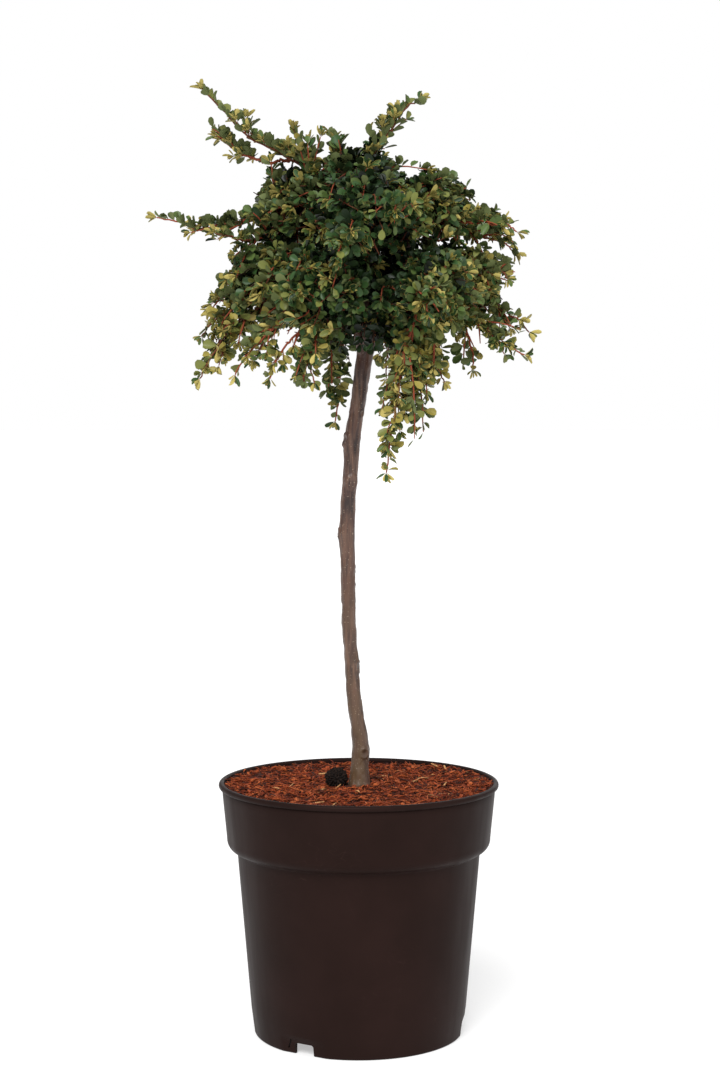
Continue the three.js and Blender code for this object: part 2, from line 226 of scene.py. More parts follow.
class Look:
    """A Principled material, with short calls for the nodes that feed it."""

    def __init__(self, name, base, roughness, specular, **sockets):
        self.material = bpy.data.materials.new(name)
        self.material.use_nodes = True
        self.tree = self.material.node_tree
        self.shader = self.tree.nodes["Principled BSDF"]
        self.shader.inputs["Base Color"].default_value = base
        self.shader.inputs["Roughness"].default_value = roughness
        self.shader.inputs["Specular IOR Level"].default_value = specular
        for socket, value in sockets.items():
            self.shader.inputs[socket.replace("_", " ")].default_value = value

    def node(self, kind, **settings):
        node = self.tree.nodes.new("ShaderNode" + kind)
        for key, value in settings.items():
            if key in node.inputs:
                node.inputs[key].default_value = value
            else:
                setattr(node, key, value)
        return node

    def link(self, out, into):
        self.tree.links.new(out, into)

    def place(self, scale=(1, 1, 1)):
        """Object coordinates, stretched."""
        where, mapping = self.node("TexCoord"), self.node("Mapping", Scale=scale)
        self.link(where.outputs["Object"], mapping.inputs["Vector"])
        return mapping.outputs["Vector"]

    def noise(self, scale, detail=4, stretch=(1, 1, 1), roughness=0.55):
        node = self.node("TexNoise", Scale=scale, Detail=detail, Roughness=roughness)
        self.link(self.place(stretch), node.inputs["Vector"])
        return node.outputs["Fac"]

    def ramp(self, value, *stops):
        """Stops are (place, colour)."""
        node = self.node("ValToRGB")
        bar = node.color_ramp
        while len(bar.elements) < len(stops):
            bar.elements.new(0.5)
        for element, (where, shade) in zip(bar.elements, stops):
            element.position, element.color = where, shade
        self.link(value, node.inputs["Fac"])
        return node.outputs["Color"]

    def grey(self, value, low, high, start=0.3, end=0.7):
        """The value from start to end as a number from low to high."""
        node = self.node("MapRange")
        for socket, v in (("From Min", start), ("From Max", end), ("To Min", low), ("To Max", high)):
            node.inputs[socket].default_value = v
        self.link(value, node.inputs["Value"])
        return node.outputs["Result"]

    def feed(self, node, *values):
        """Plain values, or the outputs of other nodes, into the node's inputs by number."""
        for number, value in values:
            if isinstance(value, (float, tuple)):
                node.inputs[number].default_value = value
            else:
                self.link(value, node.inputs[number])

    def mix(self, share, a, b):
        node = self.node("Mix", data_type="RGBA")
        self.feed(node, (0, share), (6, a), (7, b))
        return node.outputs[2]

    def calc(self, operation, a, b=0.5):
        node = self.node("Math", operation=operation)
        self.feed(node, (0, a), (1, b))
        return node.outputs[0]

    def bump(self, height, distance, strength=1.0):
        node = self.node("Bump", Strength=strength, Distance=distance)
        self.link(height, node.inputs["Height"])
        self.link(node.outputs["Normal"], self.shader.inputs["Normal"])

    def base(self, shade):
        self.link(shade, self.shader.inputs["Base Color"])

    def roughness(self, value):
        self.link(value, self.shader.inputs["Roughness"])


def pot_look():
    """Satin brown-black plastic, a little cloudy, with a few hair scratches in patches."""
    look = Look("pot_plastic", colour(32, 21, 18), 0.48, 0.06,
                Specular_Tint=(1, 0.72, 0.68, 1))
    cloud = look.noise(14, 3)
    plastic = look.ramp(cloud, (0.35, colour(30, 19.5, 17)), (0.65, colour(35, 23, 20.5)))
    off = look.calc("ABSOLUTE", look.calc("SUBTRACT", look.noise(52, 1, (1, 1, 1.8))))
    patch = look.grey(look.noise(11, 1), 0, 1, 0.57, 0.66)
    scuff = look.calc("MULTIPLY", look.grey(off, 0.16, 0, 0, 0.006), patch)
    look.base(look.mix(scuff, plastic, colour(74, 56, 52)))
    look.roughness(look.grey(look.noise(60, 5, (1, 1, 0.12)), 0.4, 0.54))
    look.bump(look.noise(900, 2), 0.00006, 0.5)
    return look.material


# Brick-red fibre, brown, dark crumbs, orange bark and straw-coloured wood.
MULCH_SHADES = [(170, 78, 41), (130, 54, 29), (70, 30, 17), (196, 100, 53), (224, 166, 110)]
CRUMB_AND_CREVICE_SHADE, STRAW = 2, 4


def mulch_looks():
    looks = []
    for i, shade in enumerate(MULCH_SHADES):
        look = Look(f"mulch_{i}", colour(*shade), 0.9, 0.2)
        dark = tuple(c * 0.62 for c in shade)
        look.base(look.ramp(look.noise(700, 3), (0.35, colour(*dark)), (0.65, colour(*shade))))
        looks.append(look.material)
    return looks


def feed_look():
    look = Look("feed_clump", colour(24, 18, 15), 0.9, 0.15)
    look.base(look.ramp(look.noise(500, 4), (0.4, colour(14, 10, 9)), (0.66, colour(44, 32, 26))))
    look.bump(look.noise(1200, 3), 0.0004)
    return look.material


def bark_look(name, dark, light, warm, foot=None):
    """Thin smooth bark: long streaks, a warmer tone in patches, and pale pores. A foot colour
    tints its lower part."""
    look = Look(name, colour(*light), 0.42, 0.5)
    streak = look.noise(300, 6, (1, 1, 0.1))
    patch = look.noise(38, 3, (1, 1, 0.5))
    bark = look.ramp(streak, (0.38, colour(*dark)), (0.62, colour(*light)))
    toned = look.mix(look.grey(patch, 0.0, 0.75, 0.42, 0.62), bark, colour(*warm))
    if foot:
        split = look.node("SeparateXYZ")
        look.link(look.place(), split.inputs[0])
        low = look.grey(split.outputs["Z"], 0.9, 0.0, 0.25, 0.5)
        cloud = look.grey(look.noise(55, 4, (1, 1, 0.35)), 0.15, 0.85, 0.4, 0.62)
        toned = look.mix(look.calc("MULTIPLY", low, cloud), toned, colour(*foot))
    pores = look.noise(620, 1, (1, 1, 1.6), 0.2)
    look.base(look.mix(look.grey(pores, 0.0, 0.6, 0.71, 0.76), toned, colour(160, 142, 122)))
    look.roughness(look.grey(streak, 0.5, 0.3))
    look.bump(look.noise(420, 5, (1, 1, 0.2)), 0.0005, 0.8)
    return look.material


# ---- reading the frame
def box_of(node):
    """A CAD node's low and high corner."""
    return [np.array(corner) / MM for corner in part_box(node)]


def points_of(node):
    """A CAD node's corners, each once."""
    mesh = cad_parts[node].data
    corners = np.empty(len(mesh.vertices) * 3)
    mesh.vertices.foreach_get("co", corners)
    return np.unique(np.round(corners.reshape(-1, 3) / MM, 2), axis=0)


def tree_of(*nodes):
    """One search tree over the faces of these CAD nodes."""
    points, faces = [], []
    for node in nodes:
        mesh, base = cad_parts[node].data, len(points)
        points += [Vector(v.co) / MM for v in mesh.vertices]
        faces += [tuple(base + i for i in p.vertices) for p in mesh.polygons]
    return BVHTree.FromPolygons(points, faces)


def nodes_named(start):
    return sorted(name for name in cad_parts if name.startswith(start))


# ---- pot
RIM_RADIUS, _, RIM_Z = box_of("pot")[1]
BEAD = 2.8
POT_SIDES = 240
COLLAR_TOP = RIM_RADIUS - BEAD
COLLAR_FOOT, COLLAR_FOOT_Z = 123.0, 183.0
SHOULDER, SHOULDER_Z = 113.3, 172.5
BASE, DISC, FOOT_HEIGHT = 97.8, 44.0, 11.0  # radii of the base and of the flat disc inside it
WALL = 1.8
NOTCH_ANGLES = [math.radians(-121 + 120 * i) for i in range(3)]
NOTCH_WIDTH, NOTCH_HEIGHT, NOTCH_ROUND = 20.0, 10.5, 2.4
PANEL_HALF, PANEL_TOP = 0.24, 15.0  # the flat panel round a notch: half its angle, and its height


def arc(x, z, rx, rz, start, end, steps):
    angles = np.radians(np.linspace(start, end, steps + 1))
    return [(x + rx * math.cos(a), z + rz * math.sin(a)) for a in angles]


def rise(start, end, steps):
    """Points between two, without the second."""
    return [tuple(np.add(start, np.subtract(end, start) * i / steps)) for i in range(steps)]


def pot_profile():
    bead_z = RIM_Z - BEAD
    round_x = COLLAR_FOOT - 9
    return [
        (0, 0), (20, 0), (DISC - 1, 0), (DISC, 0.6), (DISC + 3, FOOT_HEIGHT),
        (70, FOOT_HEIGHT), (BASE - 4.6, FOOT_HEIGHT), (BASE - 4, FOOT_HEIGHT - 1),
        (BASE - 3.7, 0.5), (BASE - 3.2, 0),
        *arc(BASE - 2, 2, 2, 2, -90, 0, 5),
        *rise((BASE + 0.2, 3.5), (BASE + 2.9, 24), 14),
        *rise((BASE + 2.9, 24), (SHOULDER, SHOULDER_Z - 3), 14),
        *arc(SHOULDER + 2.5, SHOULDER_Z - 2, 2.5, 2.5, 180, 110, 3),
        *arc(round_x, COLLAR_FOOT_Z, 9, 10, -80, 0, 9),
        *rise((COLLAR_FOOT + 0.1, COLLAR_FOOT_Z + 2), (COLLAR_TOP - 0.4, bead_z - BEAD - 2), 8),
        (COLLAR_TOP - 0.5, bead_z - BEAD - 1.2), (COLLAR_TOP - 0.9, bead_z - BEAD - 0.2),
        *arc(COLLAR_TOP, bead_z, BEAD, BEAD, -80, 150, 12),
        (COLLAR_TOP - WALL - 0.8, bead_z - 0.8), (COLLAR_TOP - WALL, bead_z - BEAD - 1),
        *arc(round_x, COLLAR_FOOT_Z, 9 - WALL, 10 - WALL, 0, -88, 5),
        (SHOULDER - WALL, SHOULDER_Z - 2), (BASE + 2.9 - WALL, 24),
        (BASE + 0.5 - WALL, FOOT_HEIGHT + WALL),
        (DISC + 3 - WALL, FOOT_HEIGHT + WALL), (DISC - WALL, WALL), (0, WALL),
    ]


def panelled(radius, z, turn):
    """The radius with the flat panels round the notches taken off it."""
    for angle in NOTCH_ANGLES:
        off = abs((turn - angle + math.pi) % math.tau - math.pi)
        if off < PANEL_HALF and z < PANEL_TOP + 2 and radius > BASE - 5:
            flat = (BASE + 0.4) * math.cos(PANEL_HALF) / math.cos(off)
            ease = min(1, max(0, (PANEL_TOP + 2 - z) / 6))
            inner = radius - (BASE + 0.4)
            return radius + (min(radius, flat + inner) - radius) * ease
    return radius


def notch_corner(x, start):
    """A rounded upper corner of the notch, from this angle on."""
    return arc(x, NOTCH_HEIGHT - NOTCH_ROUND, NOTCH_ROUND, NOTCH_ROUND, start, start + 90, 6)


NOTCH_OUTLINE = [
    (NOTCH_WIDTH / 2, -4),
    *notch_corner(NOTCH_WIDTH / 2 - NOTCH_ROUND, 0),
    *notch_corner(NOTCH_ROUND - NOTCH_WIDTH / 2, 90),
    (-NOTCH_WIDTH / 2, -4),
]
# A narrow slanted slot beside each notch.
SLOT_OUTLINE = [(-17.4, 4.5), (-15.9, 4.5), (-12.4, 13.5), (-13.9, 13.5)]


def foot_cutter(turn, outline):
    """A bar of this outline through the foot ring."""
    form = bmesh.new()
    ahead = compass(turn)
    side = np.cross(UP, ahead)
    ends = [[form.verts.new((ahead * radius + side * y + UP * z) * MM) for y, z in outline]
            for radius in (BASE - 10, BASE + 10)]
    form.faces.new(ends[0])
    form.faces.new(reversed(ends[1]))
    for k, n in zip(*around(len(outline))):
        form.faces.new((ends[0][k], ends[1][k], ends[1][n], ends[0][n]))
    bmesh.ops.recalc_face_normals(form, faces=form.faces)
    return add_object("cutter", mesh_of(form, "cutter"))


def make_pot():
    turns = np.arange(POT_SIDES) * math.tau / POT_SIDES
    form = bmesh.new()
    rings = []
    for radius, z in pot_profile():
        if radius == 0:
            rings.append([form.verts.new(UP * (z * MM))] * POT_SIDES)
        else:
            rings.append([form.verts.new(compass(turn) * (panelled(radius, z, turn) * MM)
                                         + UP * (z * MM)) for turn in turns])
    for low, high in zip(rings, rings[1:]):
        for k, n in zip(*around(POT_SIDES)):
            corners = dict.fromkeys([low[k], low[n], high[n], high[k]])
            form.faces.new(list(corners)).smooth = True
    bmesh.ops.recalc_face_normals(form, faces=form.faces)
    pot = place("pot_shell", mesh_of(form, "pot_shell"), [pot_look()], ["pot"])
    cutters = [foot_cutter(turn, outline) for turn in NOTCH_ANGLES
               for outline in (NOTCH_OUTLINE, SLOT_OUTLINE)]
    for cutter in cutters:
        cut = pot.modifiers.new("notch", "BOOLEAN")
        cut.object, cut.operation, cut.solver = cutter, "DIFFERENCE", "EXACT"
    bpy.context.view_layer.update()
    done = bpy.data.meshes.new_from_object(pot.evaluated_get(bpy.context.evaluated_depsgraph_get()))
    pot.modifiers.clear()
    pot.data = done
    done.shade_smooth()
    done.set_sharp_from_angle(angle=math.radians(38))
    for cutter in cutters:
        bpy.data.objects.remove(cutter)


# ---- mulch
SOIL_TREE = tree_of("soil")
SOIL_RADIUS = box_of("soil")[1][0] + 0.6
BED_RINGS, BED_SIDES = 44, 150
SKIRT_DEPTH = 24  # how far the bed's edge goes down inside the pot
FIBRES, FLAKES, STRAWS = 6400, 900, 15
FEED_LOW, FEED_HIGH = box_of("feed_plug")
FEED_CENTRE = (FEED_LOW + FEED_HIGH) / 2


def mulch_height(x, y):
    """The mulch's surface: the CAD solid's, filled under the feed, with lumps."""
    reach = min(1.0, (SOIL_RADIUS - 3) / max(math.hypot(x, y), 1))
    hit = SOIL_TREE.ray_cast(Vector((x * reach, y * reach, RIM_Z + 20)), Vector((0, 0, -1)))[0]
    height = hit.z if hit else RIM_Z - 5
    if math.hypot(x - FEED_CENTRE[0], y - FEED_CENTRE[1]) < 13:
        height = RIM_Z - 4.4
    at = Vector((x, y, 0))
    edge = max(0, math.hypot(x, y) / SOIL_RADIUS - 0.72) / 0.28
    heap = 5.2 * edge * (0.25 + 0.75 * abs(x) / SOIL_RADIUS)
    return height + heap + 2.2 * wave(at / 17) + 1.4 * wave(at / 6.3) - 0.9


def mulch_bed(pile):
    """The surface under the loose bark, down to a skirt inside the pot."""
    points = [(0, 0, mulch_height(0, 0))]
    for i in range(1, BED_RINGS + 1):
        radius = SOIL_RADIUS * i / BED_RINGS
        for k in range(BED_SIDES):
            x, y, _ = compass(math.tau * k / BED_SIDES) * radius
            points.append((x, y, mulch_height(x, y) + 0.7 * wave(Vector((x, y, 9)) / 1.9)))
    skirt = [(x * 0.985, y * 0.985, RIM_Z - SKIRT_DEPTH) for x, y, _ in points[-BED_SIDES:]]
    points += [*skirt, (0, 0, RIM_Z - SKIRT_DEPTH)]
    last = len(points) - 1 - BED_SIDES
    k, n = around(BED_SIDES)
    ring = np.arange(1, last, BED_SIDES)[:, None]
    a, b = (ring + k).ravel(), (ring + n).ravel()
    # The bed takes the dark-crumb shade: partly the colour of dark crumbs, partly painted shade in the
    # crevices between the fibres.
    base = pile.add(points, np.stack([a, a + BED_SIDES, b + BED_SIDES, b], axis=1), CRUMB_AND_CREVICE_SHADE)
    pile.fan(base, 0, 1 + k, 1 + n, CRUMB_AND_CREVICE_SHADE)
    pile.fan(base, len(points) - 1, last + n, last + k, CRUMB_AND_CREVICE_SHADE)


def fibre(pile, x, y, length, width, slot, lift):
    """A torn strip of bark lying on the bed, bent a little."""
    ahead = unit(compass(any_turn(), gauss(0, 0.22)))
    bend = across(ahead, any_turn()) * length * uniform(-0.18, 0.18)
    centre = np.array([x, y, mulch_height(x, y) + lift])
    line = [centre + ahead * length * s + bend * (1 - 4 * s * s) for s in (-0.5, -0.17, 0.17, 0.5)]
    radii = [width * f for f in (0.35, 0.5, 0.46, 0.22)]
    tube(pile, line, radii, 3, slot)


def flake(pile, x, y, size, slot, lift):
    """A flat crumb of bark with an uneven outline."""
    normal = unit(UP + jitter(0.45))
    ahead = unit(np.cross(normal, jitter(1)))
    side = np.cross(normal, ahead)
    centre = np.array([x, y, mulch_height(x, y) + lift])
    long, thick, corners = uniform(1.0, 1.9), size * 0.16, 6
    ring = []
    for i in range(corners):
        a, r = i * math.tau / corners, size * uniform(0.35, 0.6)
        ring.append(centre + ahead * math.cos(a) * r * long + side * math.sin(a) * r)
    top = [p + normal * thick for p in ring]
    add_rings(pile, [*ring, *top, centre - normal * thick * 0.3, centre + normal * thick * 1.3],
              corners, slot)


def anywhere(inset):
    """A place on the mulch, away from the wall and from the stem."""
    while True:
        radius = (SOIL_RADIUS - inset) * math.sqrt(rng.random())
        x, y, _ = compass(any_turn()) * radius
        if radius > 10:
            return x, y


def make_mulch():
    looks = mulch_looks()
    bed = Pile()
    mulch_bed(bed)
    bed.piece("mulch_bed", looks, "bark_mulch", ["soil"])
    fibres = Pile()
    for _ in range(FIBRES):
        x, y = anywhere(1.5)
        patch = wave(Vector((x, y, 31)) / 13)
        shares = (38, 27 - 30 * patch, 16 - 22 * patch, max(2, 17 + 34 * patch), 0.4)
        slot = choices(range(5), shares)[0]
        coarse = rng.random() < 0.3
        length = min(uniform(4, 20 if coarse else 13), 2 * (SOIL_RADIUS + 1 - math.hypot(x, y)))
        width = uniform(0.9, 1.9) if coarse else uniform(0.35, 0.9)
        fibre(fibres, x, y, max(2, length), width, slot, uniform(-0.8, 2.0))
    fibres.piece("mulch_fibres", looks, "bark_mulch")
    flakes = Pile()
    for _ in range(FLAKES):
        x, y = anywhere(6)
        slot = choices(range(5), (30, 26, 22, 21, 1))[0]
        flake(flakes, x, y, uniform(2, 5.5), slot, uniform(-0.2, 1.4))
    for _ in range(STRAWS):
        fibre(flakes, *anywhere(14), uniform(10, 20), uniform(1.8, 2.8), STRAW, uniform(1.6, 2.6))
    flakes.piece("mulch_chips", looks, "bark_mulch")


def make_feed():
    """The spent feed: a rough crumbly lump of fused granules."""
    form = bmesh.new()
    bmesh.ops.create_icosphere(form, subdivisions=6, radius=1)
    half = (FEED_HIGH - FEED_LOW) / 2
    for vert in form.verts:
        at = vert.co.copy()
        near, second = noise.voronoi(at * 4.2)[0][:2]
        crumb = 0.2 * min(1, (second - near) * 2.2) - 0.12 + 0.1 * wave(at * 1.7)
        swell = 0.94 + crumb + 0.06 * noise.fractal(at * 8, 1.0, 2.0, 3)
        vert.co = Vector([(FEED_CENTRE[i] + at[i] * half[i] * swell) * MM for i in range(3)])
    for face in form.faces:
        face.smooth = True
    place("feed_clump", mesh_of(form, "feed_clump"), [feed_look()], ["feed_plug"])


# ---- wood
UNION = sum(box_of("graft_union")) / 2
STEM_HEIGHT = 400  # rounded
STEM_SIDES, STEM_STEPS = 48, 420


def stem_rings():
    """Heights, centres and radii by direction of the CAD stem's rings."""
    points = points_of("stem")
    heights, rows = [], []
    for z in np.unique(np.round(points[:, 2], 1)):
        ring = points[abs(points[:, 2] - z) < 0.3]
        if len(ring) < 8 or (heights and z - heights[-1] <= 2):
            continue
        centre = ring.mean(axis=0)
        off = ring[:, :2] - centre[:2]
        reach = norm(off, axis=1)
        keep = reach > 2
        turn = np.arctan2(off[:, 1], off[:, 0])[keep]
        order = turn.argsort()
        heights.append(z)
        rows.append((centre, turn[order], reach[keep][order]))
    return np.array(heights), rows


# Healed scars on the stem: share of its height, direction in degrees, radius, and depth.
SCARS = [(0.075, -60, 3.4, 0.8), (0.275, -20, 4.2, 1.0), (0.585, 185, 3.0, 0.8), (0.7, -75, 5.0, 0.9),
         (0.8, 195, 4.4, 1.3), (0.86, -40, 2.6, 0.6), (0.43, 150, 2.8, 0.7), (0.5, 30, 3.2, 0.9)]


def bark_relief(point, turn, share):
    at = Vector(point)
    long = Vector((at.x, at.y, at.z * 0.22))
    ridge = 0.42 * noise.fractal(long / 3.2, 1.0, 2.0, 4) + 0.5 * wave(at / 11)
    crack = -0.45 * max(0.0, 0.22 - abs(wave(long / 4.1 + Vector((7, 3, 1))))) / 0.22
    cell = noise.voronoi(Vector((at.x, at.y, at.z * 1.5)) / 2.7)[0][0]
    pore = 0.32 * max(0.0, 1 - cell / 0.2)
    scar = 0.0
    for where, facing, size, depth in SCARS:
        above = (share - where) * STEM_HEIGHT
        swing = (turn - math.radians(facing) + math.pi) % math.tau - math.pi
        gap = math.hypot(above * 0.8, swing * 7) / size
        if gap < 2:
            scar += depth * (math.exp(-((gap - 1) / 0.3) ** 2) - 0.6 * math.exp(-((gap / 0.5) ** 2)))
    return ridge + crack + pore + scar


def make_stem():
    """The clear stem and the swollen union on it, as one mesh with the bark's relief."""
    heights, rows = stem_rings()
    centres = np.array([centre for centre, _, _ in rows])
    low, high = heights[0] - 6, UNION[2] + 15
    turns = np.linspace(-math.pi, math.pi, STEM_SIDES, endpoint=False)
    grid = np.array([np.interp(turns, t, r, period=math.tau) for _, t, r in rows])
    ways = [compass(turn) for turn in turns]
    pile, skin = Pile(), []
    for z in np.linspace(low, high, STEM_STEPS):
        share = (z - heights[0]) / (heights[-1] - heights[0])
        centre = np.array([np.interp(z, heights, centres[:, k]) for k in range(2)])
        lean = min(1, max(0, (z - heights[-1]) / 18))
        centre = centre * (1 - lean) + UNION[:2] * lean
        radius = np.array([np.interp(z, heights, grid[:, k]) for k in range(STEM_SIDES)])
        radius = sum(np.roll(radius, shift) for shift in (0, 2, -2, 4, -4)) / 5
        swell, flare = math.exp(-(((z - UNION[2]) / 13) ** 2)), math.exp(-(max(0, z - heights[0]) / 9))
        radius = radius + 4.6 * swell
        radius = radius + 1.6 * flare
        close = max(0.0, (z - UNION[2] - 3) / 12)
        radius = radius * math.sqrt(max(0.02, 1 - close**2))
        middle = np.array([*centre, z])
        skin += [middle + way * (r + bark_relief(middle + way * r, turn, share))
                 for way, turn, r in zip(ways, turns, radius)]
    ends = [(*centres[0][:2], low), (*UNION[:2], high + 0.5)]
    add_rings(pile, [*skin, *ends], STEM_SIDES, 0)
    look = bark_look("stem_bark", (38, 23, 20), (102, 75, 60), (78, 48, 39), (88, 68, 44))
    pile.piece("stem_bark", [look], "stem_bark", ["stem", "graft_union"])


# ---- crown
# Where these tones are dealt out by place, the darkest stand for painted shade inside and in the middle
# of the crown, and the lighter ones for painted light on its sides.
LEAF_TONES = {  # the upper side of the leaves, darkest first
    "deep": (12, 20, 10),
    "dark": (22, 36, 18),
    "forest": (35, 55, 28),
    "mid": (53, 80, 42),
    "olive": (78, 97, 49),
    "moss": (110, 115, 58),
    "young": (146, 134, 64),
    "lime": (174, 158, 88),
}
UNDER_TONES = {"under_painted_shade": (44, 57, 31), "under": (98, 107, 66), "under_young": (178, 164, 94),
               "stalk": (150, 92, 52)}
TONES = list(LEAF_TONES)
MID, OLIVE, MOSS, YOUNG = range(3, 7)
FIRST_UNDER = len(TONES)
STALK_SLOT = FIRST_UNDER + len(UNDER_TONES) - 1
TWIG_TONES = [(52, 35, 26), (98, 55, 38), (138, 68, 46), (132, 104, 60)]
OLD, BROWN, RED, GREENISH = range(4)

# Half widths along a leaf: share of its length from the stalk, share of its half width.
LEAF_STATIONS = [(0.0, 0.09), (0.3, 0.78), (0.66, 1.0), (0.92, 0.6)]
STALK = 0.2  # the stalk's length over the blade's
LEAF_THICK = 0.2
LEAF_RIM, YOUNG_RIM = 1.07, 1.13  # the pale underside's width over the upper side's, which it edges


class Leaves:
    """Leaves as numbers, turned into one mesh at the end. An inner leaf is one sheet, and any
    other has an underside too."""

    def __init__(self):
        self.rows = []

    def add(self, base, heading, face, length, width, fold, curl, tone, young, inner):
        self.rows.append((*base, *heading, *face, length, width, fold, curl, tone, young, inner))

    def sheet(self, pile, rows, rim, sink, slots, flip):
        base, heading, face = rows[:, 0:3], rows[:, 3:6], rows[:, 6:9]
        length, width, fold, curl = (rows[:, i : i + 1] for i in range(9, 13))
        side = np.cross(face, heading)
        points = [base]
        for share, half in LEAF_STATIONS:
            lift = -curl * length * share**2 - sink
            for way in (-1, 0, 1):
                wide = way * half * width / 2 * rim
                points.append(base + heading * length * (STALK + share) + side * wide
                              + face * (lift + abs(wide) * fold))
        tip = STALK + 0.97 + 0.03 * (rim > 1)
        points.append(base + heading * length * tip - face * (curl * length + sink))
        points = np.stack(points, axis=1)
        each = points.shape[1]
        last = each - 4
        quads, tips = [], [(last, each - 1, last + 1), (last + 1, each - 1, last + 2)]
        for a in range(1, last, 3):
            quads += [(a, a + 3, a + 4, a + 1), (a + 1, a + 4, a + 5, a + 2)]
        starts = pile.count + np.arange(len(rows))[:, None, None] * each
        stalks = np.full(len(rows), STALK_SLOT)
        for faces, shades in ((quads, slots), (tips, slots), ([(0, 1, 2), (0, 2, 3)], stalks)):
            order = np.array(faces)[:, ::-1] if flip else np.array(faces)
            pile.faces.append((starts + order[None]).reshape(-1, order.shape[1]))
            pile.slots.append(np.repeat(shades, len(faces)))
        pile.points.append(points.reshape(-1, 3))
        pile.count += points.shape[0] * each

    def fill(self, pile):
        rows = np.array(self.rows)
        self.sheet(pile, rows, np.ones((len(rows), 1)), 0, rows[:, 13].astype(int), False)
        rows = rows[rows[:, 15] == 0]
        rim = np.where(rows[:, 14:15] > 0, YOUNG_RIM, LEAF_RIM)
        # Undersides of leaves darker than MID take a dark tone, painted shade as on their upper side;
        # the others are pale.
        light = rows[:, 13] >= MID
        self.sheet(pile, rows, rim, LEAF_THICK, FIRST_UNDER + np.where(rows[:, 14] > 0, 2, light), True)


SECTORS = ("right", "back_right", "back_left", "left", "front_left", "front_right")
foliage = {name: Leaves() for name in SECTORS}
twigs = Pile()
SPRAYS = nodes_named("spray_")
MASSES = {name: points_of(name) for name in nodes_named("mass_")}
MASS_TREES = {name: tree_of(name) for name in MASSES}
MASS_CENTRES = {name: (points.min(axis=0) + points.max(axis=0)) / 2
                for name, points in MASSES.items()}
CROWN = np.mean(list(MASS_CENTRES.values()), axis=0)
FOLIAGE_TREE = tree_of(*MASSES, *SPRAYS)
LEAF_REACH = 8.5  # how far a leaf's middle may stand out of the crown's solids, to keep gaps open
CORE_REACH = 64.0  # round the union and the crown's middle, where inner shoots fill the open core
TIP_INSET = 8.0  # a leader stops this far inside its solid, and its leaves fill the rest
SHOOT_SPACING = 10.0  # between the ends of a mass's shoots
LIMBS = 6  # in each mass
SISTERS = 4  # shorter shoots that set off beside a spray's leader
SMOOTHING = 50  # passes over a leader's line
INNER_SHOOTS, HEART_SHOOTS, CORE_SHOOTS = 26, 70, 80  # in each mass, round the union, in the core

# Gaps where the sky shows from the front: the two sprays that each lies between, how far from
# their tips to the crown's middle, and its radius.
GAPS = [("left_skirt_inner", "under_left", 0.33, 12), ("right_middle", "far_right", 0.08, 11),
        ("left_tuft", "top_left", 0.2, 7), ("left_facing", "left_skirt_upper", 0.13, 7),
        ("high_right", "right_shoulder", 0.1, 12), ("low_right_outer", "right_skirt_tip", 0.2, 9)]


def tip_of(points):
    return points[norm(points - CROWN, axis=1).argmax()]


def foot_of(points):
    return points[norm(points - UNION, axis=1).argsort()[:6]].mean(axis=0)


def gap_sight(one, other, share, radius):
    """The line of sight through a gap, and its radius."""
    middle = (tip_of(points_of("spray_" + one)) + tip_of(points_of("spray_" + other))) / 2
    return unit(middle + (CROWN - middle) * share - EYE), radius


GAP_SIGHTS = [gap_sight(*row) for row in GAPS]


def in_gap(point, reach=LEAF_REACH):
    """Whether a place is in a gap of the crown, or past the outline of its foliage solids."""
    ragged = 1 + 0.4 * wave(Vector(point) / 5)
    if any(norm(np.cross(point - EYE, sight)) < radius * ragged for sight, radius in GAP_SIGHTS):
        return True
    if min(norm(point - UNION), norm(point - CROWN)) < CORE_REACH:
        return False
    near, normal, _, gap = FOLIAGE_TREE.find_nearest(Vector(point))
    return gap > reach and (Vector(point) - near).dot(normal) > 0


def kept_in(line):
    """A shoot's line, ended where it would leave the crown."""
    outside = [in_gap(point) for point in line] + [True]
    return line[:max(outside.index(True), 3)]


def add_leaf(point, heading, lead, size, tone, young=False, inner=False):
    """One leaf from a point on a twig whose tip lies along lead. A young one is narrow."""
    heading = unit(heading)
    light = 0.5 * lead + 0.7 * UP + 0.45 * unit(point - CROWN) + jitter(0.5)
    face = unit(light - heading * light.dot(heading))
    length = size * uniform(0.72, 1.2)
    width = length * (uniform(0.3, 0.44) if young else uniform(0.52, 0.76))
    fold = uniform(0.5, 1.1) if young else uniform(0.2, 0.75)
    curl = uniform(-0.14, 0.16) if young else uniform(-0.12, 0.16)
    slot = min(len(TONES) - 1, max(0, tone + choice((-1, 0, 0, 1))))
    if not in_gap(point + heading * length * 0.6, 0 if inner else LEAF_REACH):
        turn = math.atan2(point[1] - CROWN[1], point[0] - CROWN[0])
        sector = SECTORS[round(turn / (math.pi / 3)) % 6]
        foliage[sector].add(point, heading, face, length, width, fold, curl, slot, young, inner)


def whorl(point, lead, count, size, tone, young, inner=False):
    """Leaves round a tip, standing forward. A young tip is a rosette: green narrow leaves with
    pale undersides, and a tighter ring of yellow ones inside."""
    start = any_turn()
    for i in range(count):
        out = across(lead, start + math.tau * i / count + gauss(0, 0.3))
        splay = uniform(0.35, 0.85) if young else uniform(0.5, 0.95)
        add_leaf(point, lead * uniform(0.5, 1.1) + out * splay, lead, size,
                 tone - 2 if young else tone, young, inner)
    if young:
        for _ in range(choice((3, 4, 5))):
            add_leaf(point + lead * 1.5, lead + jitter(0.3), lead, size * 0.62, tone + 1, True)


